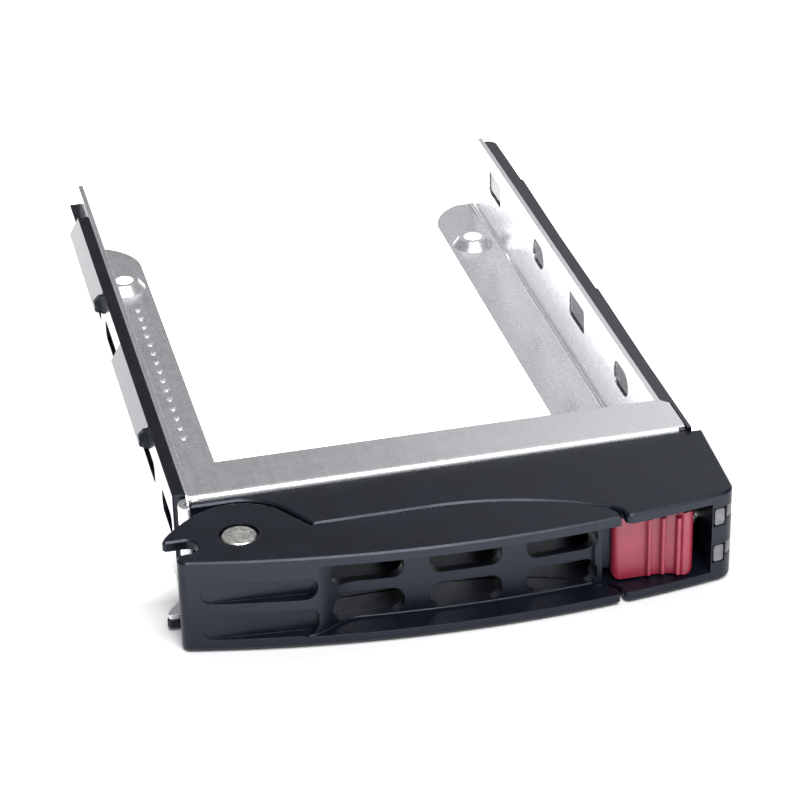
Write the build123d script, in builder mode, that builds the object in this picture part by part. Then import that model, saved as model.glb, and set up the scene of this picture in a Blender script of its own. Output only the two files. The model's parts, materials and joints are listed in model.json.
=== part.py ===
"""Hot-swap tray for a 2.5-inch drive: steel chassis, plastic rails, bezel, lever and latch.

Frame: millimetres, +Z up, +Y towards the connector end, +X to the right seen from the front.
Origin: centre of the four drive screw holes, on the plane that the drive sits on.
"""

import os
from math import acos, cos, degrees, radians, sin, sqrt

from build123d import *

os.makedirs("parts", exist_ok=True)

# The drive that the tray holds
HOLE_SPACING_X = 61.72
HOLE_SPACING_Y = 76.6
SCREW_HOLE_R = 1.6
SEAT_R = 3.6
SEAT_TOP_R = 2.4
DISH_R = 2.9
DISH_TOP_R = 1.75

# Sheet-steel chassis
SHEET = 0.8
BAY_WIDTH = 70.4
SEAT_RISE = 1.5
FLANGE_WIDTH = 8.5
WALL_TOP = 12.8
WALL_REAR = 50.8
FLANGE_REAR = 54.5
INNER_BEND_R = 0.8
OUTER_BEND_R = 1.6
FRONT = -57.0
CROSS_TOP = 12.95
CROSS_DEPTH = 8.74
CROSS_LEFT = -35.8
CROSS_CORNER_R = 1.5
CROSS_RIGHT = 37.0
BEND_R = 1.0
EAR_R = 1.5
EAR_X = -35.9
EAR_Y = FRONT - 0.4

WALL_IN = BAY_WIDTH / 2
WALL_OUT = WALL_IN + SHEET
FLANGE_IN = WALL_IN - FLANGE_WIDTH
UNDERSIDE = -(SEAT_RISE + SHEET)
FLANGE_TOP = -SEAT_RISE

# Windows in the side walls: centre, length, and whether the ends are round
WINDOW_Z = 8.0
WINDOW_HEIGHT = 4.2
SQUARE_WINDOWS = ((39.4, 7.4), (-9.2, 8.1))
ROUND_WINDOWS = ((12.6, 6.4), (-32.2, 7.2))

# Rails
RAIL = 1.86
RAIL_OUT = WALL_OUT + RAIL
RAIL_BOTTOM = -1.5
RAIL_REAR = 49.2
RIDGE_NOSE = 0.9
WEDGE_LOW = 10.0
WEDGE_RISE = 0.3
LEFT_STEP_Y = 38.0
LEFT_STEP_Z = 10.2
SNAP_GAP = 0.2
SNAP_LOW_GAP = 0.6
SNAP_DEPTH = 0.55
SNAP_Z = WINDOW_Z + (SNAP_LOW_GAP - SNAP_GAP) / 2
SNAP_HEIGHT = WINDOW_HEIGHT - SNAP_GAP - SNAP_LOW_GAP

# Bezel and lever share one height and one front curve
SHELL_BOTTOM = -1.9
SHELL_TOP = 12.3
PLATE = 1.5
EDGE = 0.3
CURVE_R = 178.0
CURVE_X = 4.0
CURVE_REACH = 20.8
PLATE_TOP_Z = SHELL_TOP - PLATE
PLATE_LOW_Z = SHELL_BOTTOM + PLATE
SHELL_MIDDLE = Plane.XY.offset((SHELL_TOP + SHELL_BOTTOM) / 2)
BEZEL_RIGHT_REAR = 39.45
BEZEL_RIGHT_FRONT = 38.45
BEZEL_LEFT = -35.75
BACK_PLATE = 1.3
SEAM_GAP = 0.3

# Pivot
PIVOT = (-30.6, FRONT - 10.2)
PIN_R = 2.5
PIN_CLEARANCE = 0.05
BOSS_R = 8.35
SOCKET_R = 9.0
KNUCKLE_R = 4.1
UPPER_ARM = (8.0, 10.5)
LOWER_ARM = (0.75, 3.0)
HOOK_SHEET = 0.8
HOOK_EYE_R = 4.2
HOOK_RIVETS = ((-36.6, FRONT - 8.2), (-35.6, FRONT - 5.2))
HOOK_RIVET_R = 0.6
RIVET_HEAD = 0.2

# Lever
SEAM_Y = FRONT - 10.4
SEAM_START_X = -20.5
SEAM_ARC_X = -4.0
SEAM_ARC_R = 47.0
LEVER_END = 20.9
LEVER_END_GAP = 0.8
LEVER_WALL = 2.6
GRILLE_SETBACK = 3.9
GRILLE_WALL = 1.4
GRILLE_START = -15.5
GRILLE_END = 19.2
SLOT_COLUMNS = (-14.2, -0.4, 13.4)
SLOT_ROWS = (1.9, 7.6)
SLOT_LENGTH = 10.2
SLOT_HEIGHT = 4.0
SLOT_CORNER = 1.7

# Release latch
LATCH_LEFT = 20.9
LATCH_RIGHT = 32.3
LATCH_LOW_GAP = 0.3
LATCH_TOP_GAP = 0.7
LATCH_FACE_Y = FRONT - 16.8
LATCH_BACK_Y = FRONT - 15.3
END_BLOCK = 34.8
GUIDE_Y = FRONT - 11.0
GUIDE_Z = 5.35
GUIDE_R = 0.9
GUIDE_END = 36.0
STOP_RIB = (22.4, 23.9)
SLIDE_LEFT = STOP_RIB[1] + 0.1
SLIDE_RIGHT = 29.9

# Light pipes
PIPE_ROWS = (2.6, 8.55)
PIPE_HEIGHT = 2.2
PIPE_WIDTH = 1.2
PIPE_GAP = 0.1
LENS_WIDTH = 1.5
LENS_HEIGHT = 2.56
LENS_X = 35.95
LENS_DEPTH = 0.6
LENS_GAP = 0.2
LENS_CORNER = 0.35
CORNER_LENS_X = 38.6
CORNER_LENS_SPAN = 3.0
CORNER_LENS_HEIGHT = 1.9
CORNER_LENS_RISE = 0.5
CORNER_LENS_GAP = 0.15

# Screws that hold the bezel on the chassis
BEZEL_SCREWS = (-23.2, -7.3, 6.5, 28.0)
BEZEL_SCREW_Z = 4.75
BEZEL_SCREW_R = 1.0


def curve_y(x, setback=0.0):
    """Y of the front curve at x, or of the curve that lies setback behind it."""
    radius = CURVE_R - setback
    centre = FRONT - CURVE_REACH + CURVE_R
    return centre - sqrt(radius**2 - (x - CURVE_X) ** 2)


def curve_arc(x1, x2, setback=0.0):
    """Stretch of the front curve from x1 to x2."""
    middle = (x1 + x2) / 2
    ends = [(x, curve_y(x, setback)) for x in (x1, middle, x2)]
    return ThreePointArc(*ends)


def around_pivot(radius, angle):
    """Point at a radius from the pivot, with its angle in degrees from +X."""
    x = PIVOT[0] + radius * cos(radians(angle))
    y = PIVOT[1] + radius * sin(radians(angle))
    return (x, y)


def tangent_angle(x, y, radius):
    """Angle at which a line from (x, y) touches the circle of that radius round the pivot."""
    distance = sqrt((x - PIVOT[0]) ** 2 + (y - PIVOT[1]) ** 2)
    lean = degrees(acos((x - PIVOT[0]) / distance))
    side = 1 if y > PIVOT[1] else -1
    return side * lean + degrees(acos(radius / distance))


def seam_point(x, gap=0.0):
    """Point on the curved stretch of the seam, or gap behind it."""
    radius = SEAM_ARC_R + gap
    y = SEAM_Y - SEAM_ARC_R + sqrt(radius**2 - (x - SEAM_ARC_X) ** 2)
    return (x, y)


def seam_arc(x1, x2, gap=0.0):
    """Curved stretch of the seam from x1 to x2."""
    points = [seam_point(x, gap) for x in (x1, (x1 + x2) / 2, x2)]
    return ThreePointArc(*points)


def pivot_arc(radius, start, end):
    """Arc round the pivot, between two angles in degrees."""
    points = [around_pivot(radius, a) for a in (start, (start + end) / 2, end)]
    return ThreePointArc(*points)


def lever_outline():
    """Plan of the lever's top and bottom plates, with the hook and its notch at the left."""
    touch = tangent_angle(SEAM_START_X, SEAM_Y, BOSS_R)
    hook_start = around_pivot(BOSS_R, 117)
    nose = (-38.6, curve_y(-38.6))
    notch_y = FRONT - 11.35
    notch_r = 1.7
    notch_x = -38.2
    with BuildLine() as outline:
        curve_arc(nose[0], LEVER_END)
        Line((LEVER_END, curve_y(LEVER_END)), (LEVER_END, FRONT - 18.6))
        Line((LEVER_END, FRONT - 18.6), seam_point(19.9))
        seam_arc(19.9, SEAM_ARC_X)
        Line((SEAM_ARC_X, SEAM_Y), (SEAM_START_X, SEAM_Y))
        Line((SEAM_START_X, SEAM_Y), around_pivot(BOSS_R, touch))
        pivot_arc(BOSS_R, touch, 117)
        ThreePointArc(hook_start, (-38.1, FRONT - 5.35), (-40.9, FRONT - 8.5))
        Polyline(
            (-40.9, FRONT - 8.5),
            (-41.1, FRONT - 9.2),
            (-40.75, notch_y + notch_r),
            (notch_x, notch_y + notch_r),
        )
        ThreePointArc(
            (notch_x, notch_y + notch_r), (notch_x + notch_r, notch_y), (notch_x, notch_y - notch_r)
        )
        Line((notch_x, notch_y - notch_r), (-39.5, notch_y - notch_r - 0.1))
        ThreePointArc((-39.5, notch_y - notch_r - 0.1), (-39.95, FRONT - 14.3), nose)
    return outline.line


def bezel_outline():
    """Plan of the bezel's top and bottom plates, with the socket for the lever's boss."""
    start = (SEAM_START_X + SEAM_GAP, SEAM_Y + SEAM_GAP)
    touch = tangent_angle(*start, SOCKET_R)
    socket_end = around_pivot(SOCKET_R, 83)
    side = BEZEL_RIGHT_FRONT
    left = LEVER_END + LEVER_END_GAP
    lip = left + 0.9
    with BuildLine() as outline:
        Line((BEZEL_RIGHT_REAR, FRONT), (BEZEL_LEFT, FRONT))
        Line((BEZEL_LEFT, FRONT), (BEZEL_LEFT, socket_end[1]))
        Line((BEZEL_LEFT, socket_end[1]), socket_end)
        pivot_arc(SOCKET_R, 83, touch)
        Line(around_pivot(SOCKET_R, touch), start)
        Line(start, (SEAM_ARC_X, start[1]))
        seam_arc(SEAM_ARC_X, 20.3, SEAM_GAP)
        Line(seam_point(20.3, SEAM_GAP), (left, FRONT - 18.3))
        Line((left, FRONT - 18.3), (left, FRONT - 18.9))
        ThreePointArc((left, FRONT - 18.9), (left + 0.27, FRONT - 19.56), (lip, curve_y(lip)))
        curve_arc(lip, side - 1.9)
        ThreePointArc((side - 1.9, curve_y(side - 1.9)), (side - 0.55, FRONT - 16.85), (side, FRONT - 15.4))
        Line((side, FRONT - 15.4), (BEZEL_RIGHT_REAR, FRONT))
    return outline.line


def front_wall_outline():
    """Plan of the lever's front wall: flush at the left, then set back behind the lips."""
    flush_end = -23.6
    inner_turn = -24.6
    nose = (-38.6, curve_y(-38.6))
    inner_left = -37.6
    rear_left = (-39.5, FRONT - 13.15)
    back = GRILLE_SETBACK + GRILLE_WALL
    with BuildLine() as outline:
        curve_arc(nose[0], flush_end)
        Spline(
            (flush_end, curve_y(flush_end)),
            (-19.7, FRONT - 17.25),
            (GRILLE_START, curve_y(GRILLE_START, GRILLE_SETBACK)),
            tangents=((1, 0), (1, -0.1)),
        )
        curve_arc(GRILLE_START, GRILLE_END, GRILLE_SETBACK)
        Line(
            (GRILLE_END, curve_y(GRILLE_END, GRILLE_SETBACK)),
            (GRILLE_END, curve_y(GRILLE_END, back)),
        )
        curve_arc(GRILLE_END, GRILLE_START, back)
        Spline(
            (GRILLE_START, curve_y(GRILLE_START, back)),
            (-20.2, FRONT - 15.6),
            (inner_turn, curve_y(inner_turn, LEVER_WALL)),
            tangents=((-1, 0.1), (-1, 0.16)),
        )
        curve_arc(inner_turn, inner_left, LEVER_WALL)
        Line((inner_left, curve_y(inner_left, LEVER_WALL)), rear_left)
        ThreePointArc(rear_left, (-39.95, FRONT - 14.3), nose)
    return outline.line


def pipe_outline(gap=0.0):
    """Plan of a light pipe: along the rail, then inwards to its lens in the bezel's front."""
    outer = RAIL_OUT - 0.1 + gap
    inner = outer - PIPE_WIDTH - 2 * gap
    lens_out = LENS_X + LENS_WIDTH / 2 + gap
    lens_in = LENS_X - LENS_WIDTH / 2 - gap
    bend_rear = FRONT - 4.0
    bend_front = FRONT - 12.0
    with BuildLine() as outline:
        Line((outer, RAIL_REAR - 1.0 + gap), (outer, bend_rear))
        Line((outer, bend_rear), (lens_out, bend_front))
        Line((lens_out, bend_front), (lens_out, curve_y(lens_out)))
        Line((lens_out, curve_y(lens_out)), (lens_in, curve_y(lens_in)))
        Line((lens_in, curve_y(lens_in)), (lens_in, bend_front))
        Line((lens_in, bend_front), (inner, bend_rear))
        Line((inner, bend_rear), (inner, RAIL_REAR - 1.0 + gap))
        Line((inner, RAIL_REAR - 1.0 + gap), (outer, RAIL_REAR - 1.0 + gap))
    return outline.line


def shell_plate(outline):
    """Upper plate of the bezel or the lever, bevelled round its top rim."""
    with BuildPart() as plate:
        with BuildSketch(Plane.XY.offset(PLATE_TOP_Z)):
            add(outline)
            make_face()
        extrude(amount=PLATE - EDGE)
        with BuildSketch(Plane.XY.offset(SHELL_TOP - EDGE)):
            add(outline)
            make_face()
        extrude(amount=EDGE, taper=45)
    return plate.part


def corner_lens_outline(gap=0.0):
    """Plan of a corner lens: a strip of the bezel's rim round its front right corner."""
    span = CORNER_LENS_SPAN + 2 * gap
    with BuildSketch() as rim:
        add(bezel_outline())
        make_face()
        offset(amount=-LENS_DEPTH, mode=Mode.SUBTRACT)
        with Locations((CORNER_LENS_X, FRONT - 17.0)):
            Rectangle(span, span, mode=Mode.INTERSECT)
    return rim.sketch


def coil(radius, wire_r, length, turns, plane):
    """Solid of a helical spring's coil on a plane, which starts on the plane's X axis."""
    with BuildPart() as spring:
        with BuildLine() as path:
            Helix(length / turns, length, radius)
        with BuildSketch(Plane(origin=path.line @ 0, z_dir=path.line % 0)):
            Circle(wire_r)
        sweep(path=path.line, is_frenet=True)
    return spring.part.moved(plane.location)


# Front wall and cross flange, bent from one strip
with BuildPart() as cross_strip:
    with BuildSketch(Plane.YZ.offset(CROSS_LEFT)):
        Polygon(
            (FRONT, UNDERSIDE),
            (FRONT, CROSS_TOP),
            (FRONT + CROSS_DEPTH, CROSS_TOP),
            (FRONT + CROSS_DEPTH, CROSS_TOP - SHEET),
            (FRONT + SHEET, CROSS_TOP - SHEET),
            (FRONT + SHEET, UNDERSIDE),
            align=None,
        )
    extrude(amount=WALL_OUT - CROSS_LEFT)
    foot_corners = cross_strip.edges().filter_by(Axis.Y).group_by(Axis.Z)[0]
    fillet(foot_corners, radius=OUTER_BEND_R)
    rear_left = cross_strip.edges().filter_by(Axis.Z).sort_by(Axis.X)[:3].sort_by(Axis.Y)[-1]
    fillet(rear_left, radius=CROSS_CORNER_R)
    # The cross flange reaches over the right rail, with a slanted rear corner
    with BuildSketch(Plane.XY.offset(CROSS_TOP - SHEET)):
        Polygon(
            (WALL_IN, FRONT + 0.5),
            (CROSS_RIGHT, FRONT + 0.5),
            (CROSS_RIGHT, FRONT + CROSS_DEPTH - 1.3),
            (CROSS_RIGHT - 1.3, FRONT + CROSS_DEPTH),
            (WALL_IN, FRONT + CROSS_DEPTH),
            align=None,
        )
    extrude(amount=SHEET)
    bend = cross_strip.edges().filter_by(Axis.X).filter_by(
        lambda e: abs(e.center().Z - CROSS_TOP) < 0.01 and abs(e.center().Y - FRONT) < 0.01
    )
    fillet(bend, radius=BEND_R)

# Chassis: two flanged side walls joined by the front strip
with BuildPart() as steel_chassis:
    for side in (-1, 1):
        with BuildSketch(Plane.YZ.offset(WALL_IN if side > 0 else -WALL_OUT)):
            Polygon(
                (FRONT, UNDERSIDE),
                (FLANGE_REAR, UNDERSIDE),
                (FLANGE_REAR, FLANGE_TOP),
                (WALL_REAR, WALL_TOP),
                (FRONT + BEND_R, WALL_TOP),
                (FRONT, WALL_TOP - BEND_R),
                align=None,
            )
        extrude(amount=SHEET)
        with BuildSketch(Plane.XY.offset(UNDERSIDE)):
            with BuildLine():
                Polyline(
                    (side * FLANGE_IN, FLANGE_REAR - 8.0),
                    (side * FLANGE_IN, FRONT),
                    (side * WALL_OUT, FRONT),
                    (side * WALL_OUT, FLANGE_REAR),
                    (side * (FLANGE_IN + 5.4), FLANGE_REAR),
                )
                ThreePointArc(
                    (side * (FLANGE_IN + 5.4), FLANGE_REAR),
                    (side * (FLANGE_IN + 1.8), FLANGE_REAR - 3.1),
                    (side * FLANGE_IN, FLANGE_REAR - 8.0),
                )
            make_face()
        extrude(amount=SHEET)
        folds = steel_chassis.edges().filter_by(Axis.Y)
        fillet(
            folds.filter_by(lambda e: e.center().Z < FLANGE_TOP - 0.1 and e.center().X * side > WALL_IN),
            radius=OUTER_BEND_R,
        )
        folds = steel_chassis.edges().filter_by(Axis.Y)
        fillet(
            folds.filter_by(
                lambda e: abs(e.center().Z - FLANGE_TOP) < 0.01 and abs(e.center().X * side - WALL_IN) < 0.01
            ),
            radius=INNER_BEND_R,
        )
    add(cross_strip.part)
    # Curled ear that closes the front end of the left rail
    with BuildSketch(Plane.XY.offset(FLANGE_TOP)):
        with Locations((EAR_X, EAR_Y)):
            Circle(EAR_R)
            Circle(EAR_R - SHEET, mode=Mode.SUBTRACT)
        with Locations((EAR_X + EAR_R, EAR_Y - EAR_R + 0.4)):
            Rectangle(2 * EAR_R, 2 * EAR_R, mode=Mode.SUBTRACT)
    extrude(amount=SHELL_TOP - FLANGE_TOP)
    # Raised conical seats, dished underneath for flat-head screws
    with GridLocations(HOLE_SPACING_X, HOLE_SPACING_Y, 2, 2):
        with Locations((0, 0, FLANGE_TOP + SEAT_RISE / 2)):
            Cone(SEAT_R, SEAT_TOP_R, SEAT_RISE)
        with Locations((0, 0, UNDERSIDE + SEAT_RISE / 2)):
            Cone(DISH_R, DISH_TOP_R, SEAT_RISE, mode=Mode.SUBTRACT)
    with Locations(*[(x, y, 0) for x in (-HOLE_SPACING_X / 2, HOLE_SPACING_X / 2)
                     for y in (-HOLE_SPACING_Y / 2, HOLE_SPACING_Y / 2)]):
        Hole(SCREW_HOLE_R)
    # Windows that the rails snap into
    with BuildSketch(Plane.YZ.offset(-WALL_OUT - 1)):
        for centre, length in SQUARE_WINDOWS:
            with Locations((centre, WINDOW_Z)):
                RectangleRounded(length, WINDOW_HEIGHT, 0.5)
        for centre, length in ROUND_WINDOWS:
            with Locations((centre, WINDOW_Z)):
                SlotOverall(length, WINDOW_HEIGHT)
    extrude(amount=2 * WALL_OUT + 2, mode=Mode.SUBTRACT)
    # Air slots and screw holes in the front wall
    with BuildSketch(Plane.XZ.offset(-FRONT + 1)):
        with Locations(*[(x, z) for x in SLOT_COLUMNS for z in SLOT_ROWS]):
            RectangleRounded(SLOT_LENGTH, SLOT_HEIGHT, SLOT_CORNER)
        with Locations(*[(x, BEZEL_SCREW_Z) for x in BEZEL_SCREWS]):
            Circle(BEZEL_SCREW_R + 0.1)
    extrude(amount=-3, mode=Mode.SUBTRACT)
steel_chassis.part.label = "steel_chassis"
export_step(steel_chassis.part, "parts/steel_chassis.step")

# Left rail: moulded strip outside the left wall, lower at its rear end, with guide ridges
with BuildPart() as left_rail:
    with BuildSketch(Plane.YZ.offset(-RAIL_OUT)):
        Polygon(
            (FRONT + 1.4, RAIL_BOTTOM),
            (RAIL_REAR, RAIL_BOTTOM),
            (RAIL_REAR, LEFT_STEP_Z),
            (LEFT_STEP_Y, LEFT_STEP_Z),
            (LEFT_STEP_Y, WALL_TOP),
            (FRONT + 1.4, WALL_TOP),
            align=None,
        )
    extrude(amount=RAIL)
    # Guide ridges below the top edge, with blunt noses at their front ends
    for ridge_front, ridge_rear in ((-36.0, -8.5), (8.5, LEFT_STEP_Y)):
        with BuildSketch(Plane.XZ.offset(-ridge_front)):
            Polygon(
                (-RAIL_OUT, 12.5),
                (-RAIL_OUT - 0.8, 12.5),
                (-RAIL_OUT - 1.7, 11.6),
                (-RAIL_OUT - 1.6, 10.9),
                (-RAIL_OUT, 9.6),
                align=None,
            )
        extrude(amount=-RIDGE_NOSE)
        with BuildSketch(Plane.XZ.offset(-ridge_front - RIDGE_NOSE)):
            Polygon(
                (-RAIL_OUT, WALL_TOP),
                (-RAIL_OUT - 1.6, 10.0),
                (-RAIL_OUT - 1.4, 9.5),
                (-RAIL_OUT, 8.9),
                align=None,
            )
        extrude(amount=ridge_front + RIDGE_NOSE - ridge_rear)
    # Lightening pockets in the outer face
    for centre, length in ((-49.5, 8.5), (-32.4, 13.0), (1.8, 15.0), (22.5, 16.0)):
        with BuildSketch(Plane.YZ.offset(-RAIL_OUT)):
            with Locations((centre, 6.6)):
                RectangleRounded(length, 3.4, 1.2)
        extrude(amount=0.9, mode=Mode.SUBTRACT)
    with BuildSketch(Plane.YZ.offset(-WALL_OUT)):
        for centre, length in SQUARE_WINDOWS:
            with Locations((centre, SNAP_Z)):
                RectangleRounded(length - 2 * SNAP_GAP, SNAP_HEIGHT, 0.4)
        for centre, length in ROUND_WINDOWS:
            with Locations((centre, SNAP_Z)):
                SlotOverall(length - 2 * SNAP_GAP, SNAP_HEIGHT)
    extrude(amount=SNAP_DEPTH)
left_rail.part.label = "left_rail"
export_step(left_rail.part, "parts/left_rail.step")

# Right rail: full height, with two channels for the light pipes
with BuildPart() as right_rail:
    with BuildSketch(Plane.YZ.offset(WALL_OUT)):
        Polygon(
            (FRONT, RAIL_BOTTOM),
            (RAIL_REAR, RAIL_BOTTOM),
            (RAIL_REAR, WALL_TOP),
            (FRONT, WALL_TOP),
            align=None,
        )
    extrude(amount=RAIL)
    rear_corner = right_rail.edges().filter_by(Axis.Z).sort_by(Axis.Y)[-2:].sort_by(Axis.X)[-1]
    fillet(rear_corner, radius=1.6)
    # Guide wedges near the top edge, thickest at their rear ends
    for wedge_front, wedge_rear in ((-36.0, -11.0), (9.0, 32.0)):
        with BuildSketch(Plane.XY.offset(WEDGE_LOW)):
            Polygon(
                (RAIL_OUT - 0.1, wedge_front),
                (RAIL_OUT, wedge_front),
                (RAIL_OUT + WEDGE_RISE, wedge_rear),
                (RAIL_OUT - 0.1, wedge_rear),
                align=None,
            )
        extrude(amount=WALL_TOP - WEDGE_LOW)
    # Room for the cross flange's overhanging end
    with BuildSketch(Plane.XY.offset(CROSS_TOP - SHEET - 0.1)):
        Polygon(
            (WALL_OUT - 1, FRONT - 1),
            (CROSS_RIGHT + 0.25, FRONT - 1),
            (CROSS_RIGHT + 0.25, FRONT + CROSS_DEPTH - 1.2),
            (CROSS_RIGHT - 1.1, FRONT + CROSS_DEPTH + 0.25),
            (WALL_OUT - 1, FRONT + CROSS_DEPTH + 0.25),
            align=None,
        )
    extrude(amount=SHEET + 0.2, mode=Mode.SUBTRACT)
    for row in PIPE_ROWS:
        with BuildSketch(Plane.XY.offset(row - PIPE_HEIGHT / 2 - PIPE_GAP)):
            add(pipe_outline(PIPE_GAP))
            make_face()
        extrude(amount=PIPE_HEIGHT + 2 * PIPE_GAP, mode=Mode.SUBTRACT)
    with BuildSketch(Plane.YZ.offset(WALL_OUT)):
        for centre, length in SQUARE_WINDOWS:
            with Locations((centre, SNAP_Z)):
                RectangleRounded(length - 2 * SNAP_GAP, SNAP_HEIGHT, 0.4)
        for centre, length in ROUND_WINDOWS:
            with Locations((centre, SNAP_Z)):
                SlotOverall(length - 2 * SNAP_GAP, SNAP_HEIGHT)
    extrude(amount=-SNAP_DEPTH)
right_rail.part.label = "right_rail"
export_step(right_rail.part, "parts/right_rail.step")

# Light pipes, from the rear of the right rail to their lenses in the bezel's front
for name, row in (("lower_light_pipe", PIPE_ROWS[0]), ("upper_light_pipe", PIPE_ROWS[1])):
    with BuildPart() as light_pipe:
        with BuildSketch(Plane.XY.offset(row - PIPE_HEIGHT / 2)):
            add(pipe_outline())
            make_face()
        extrude(amount=PIPE_HEIGHT)
        with BuildSketch(Plane.XY.offset(row - LENS_HEIGHT / 2)):
            with BuildLine():
                curve_arc(LENS_X - LENS_WIDTH / 2, LENS_X + LENS_WIDTH / 2)
                Polyline(
                    (LENS_X + LENS_WIDTH / 2, curve_y(LENS_X + LENS_WIDTH / 2)),
                    (LENS_X + LENS_WIDTH / 2, FRONT - 16.0),
                    (LENS_X - LENS_WIDTH / 2, FRONT - 16.0),
                    (LENS_X - LENS_WIDTH / 2, curve_y(LENS_X - LENS_WIDTH / 2)),
                )
            make_face()
        extrude(amount=LENS_HEIGHT)
        lens_corners = light_pipe.edges().filter_by(Axis.Y).filter_by(
            lambda e: e.center().Y < FRONT - 15 and e.length > 1
        )
        fillet(lens_corners, radius=LENS_CORNER)
    light_pipe.part.label = name
    export_step(light_pipe.part, f"parts/{name}.step")

bezel_plate = shell_plate(bezel_outline())
lever_plate = shell_plate(lever_outline())

# Bezel: back plate, top and bottom plates, end block, latch guides and the lever's knuckle
with BuildPart() as bezel_body:
    add(bezel_plate)
    mirror(about=SHELL_MIDDLE)
    with BuildSketch(Plane.XZ.offset(-FRONT)):
        Polygon(
            (BEZEL_LEFT, PLATE_LOW_Z),
            (BEZEL_RIGHT_REAR - 0.08, PLATE_LOW_Z),
            (BEZEL_RIGHT_REAR - 0.08, PLATE_TOP_Z),
            (BEZEL_LEFT, PLATE_TOP_Z),
            align=None,
        )
        with Locations(*[(x, z) for x in SLOT_COLUMNS for z in SLOT_ROWS]):
            RectangleRounded(SLOT_LENGTH, SLOT_HEIGHT, SLOT_CORNER, mode=Mode.SUBTRACT)
    extrude(amount=BACK_PLATE)
    # End block and the rib that stops the latch
    with BuildSketch(Plane.XY.offset(PLATE_LOW_Z)):
        add(bezel_outline())
        make_face()
        with Locations((END_BLOCK / 2 - 20, FRONT - 20)):
            Rectangle(END_BLOCK + 40, 60, mode=Mode.SUBTRACT)
        with Locations(((STOP_RIB[0] + STOP_RIB[1]) / 2, FRONT - 6.6)):
            Rectangle(STOP_RIB[1] - STOP_RIB[0], 13.2)
    extrude(amount=PLATE_TOP_Z - PLATE_LOW_Z)
    # Knuckle: two arms that carry the pivot pin
    for low, high in (UPPER_ARM, LOWER_ARM):
        with BuildSketch(Plane.XY.offset(low)):
            with Locations(PIVOT):
                Circle(KNUCKLE_R)
            with Locations((PIVOT[0], (PIVOT[1] + FRONT) / 2)):
                Rectangle(2 * KNUCKLE_R, FRONT - PIVOT[1])
        extrude(amount=high - low)
    # Bosses for the chassis screws
    with BuildSketch(Plane.XZ.offset(-FRONT)):
        with Locations(*[(x, BEZEL_SCREW_Z) for x in BEZEL_SCREWS]):
            Circle(1.8)
    extrude(amount=5.0)
    with BuildSketch(Plane.XZ.offset(-FRONT)):
        with Locations(*[(x, BEZEL_SCREW_Z) for x in BEZEL_SCREWS]):
            Circle(BEZEL_SCREW_R)
    extrude(amount=4.4, mode=Mode.SUBTRACT)
    with Locations((PIVOT[0], PIVOT[1], 5.0)):
        Cylinder(PIN_R, 30.0, mode=Mode.SUBTRACT)
    # Seat of the latch's guide pin
    with BuildSketch(Plane.YZ.offset(STOP_RIB[0] - 1)):
        with Locations((GUIDE_Y, GUIDE_Z)):
            Circle(GUIDE_R)
    extrude(amount=GUIDE_END - STOP_RIB[0] + 1, mode=Mode.SUBTRACT)
    for row in PIPE_ROWS:
        with BuildSketch(Plane.XY.offset(row - PIPE_HEIGHT / 2 - PIPE_GAP)):
            add(pipe_outline(PIPE_GAP))
            make_face()
        extrude(amount=PIPE_HEIGHT + 2 * PIPE_GAP, mode=Mode.SUBTRACT)
        with BuildSketch(Plane.XY.offset(row - LENS_HEIGHT / 2 - LENS_GAP)):
            with Locations((LENS_X, FRONT - 18.0)):
                Rectangle(LENS_WIDTH + 2 * LENS_GAP, 4.0 + 2 * LENS_GAP)
        extrude(amount=LENS_HEIGHT + 2 * LENS_GAP, mode=Mode.SUBTRACT)
    for row in PIPE_ROWS:
        low = row + CORNER_LENS_RISE - CORNER_LENS_HEIGHT / 2 - CORNER_LENS_GAP
        with BuildSketch(Plane.XY.offset(low)):
            add(corner_lens_outline(CORNER_LENS_GAP))
        extrude(amount=CORNER_LENS_HEIGHT + 2 * CORNER_LENS_GAP, mode=Mode.SUBTRACT)
bezel_body.part.label = "bezel_body"
export_step(bezel_body.part, "parts/bezel_body.step")

# Lenses that show the status lights round the corner
for name, row in (("lower_corner_lens", PIPE_ROWS[0]), ("upper_corner_lens", PIPE_ROWS[1])):
    with BuildPart() as corner_lens:
        with BuildSketch(Plane.XY.offset(row + CORNER_LENS_RISE - CORNER_LENS_HEIGHT / 2)):
            add(corner_lens_outline())
        extrude(amount=CORNER_LENS_HEIGHT)
    corner_lens.part.label = name
    export_step(corner_lens.part, f"parts/{name}.step")

# Screws that hold the bezel to the chassis
with BuildPart() as bezel_screws:
    with BuildSketch(Plane.XZ.offset(-FRONT - SHEET)):
        with Locations(*[(x, BEZEL_SCREW_Z) for x in BEZEL_SCREWS]):
            Circle(1.9)
    extrude(amount=-0.9)
    with BuildSketch(Plane.XZ.offset(-FRONT - SHEET - 0.9)):
        with Locations(*[(x, BEZEL_SCREW_Z) for x in BEZEL_SCREWS]):
            RegularPolygon(0.75, 6)
    extrude(amount=0.6, mode=Mode.SUBTRACT)
    with BuildSketch(Plane.XZ.offset(-FRONT - SHEET)):
        with Locations(*[(x, BEZEL_SCREW_Z) for x in BEZEL_SCREWS]):
            Circle(BEZEL_SCREW_R)
    extrude(amount=4.6)
bezel_screws.part.label = "bezel_screws"
export_step(bezel_screws.part, "parts/bezel_screws.step")

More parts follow.
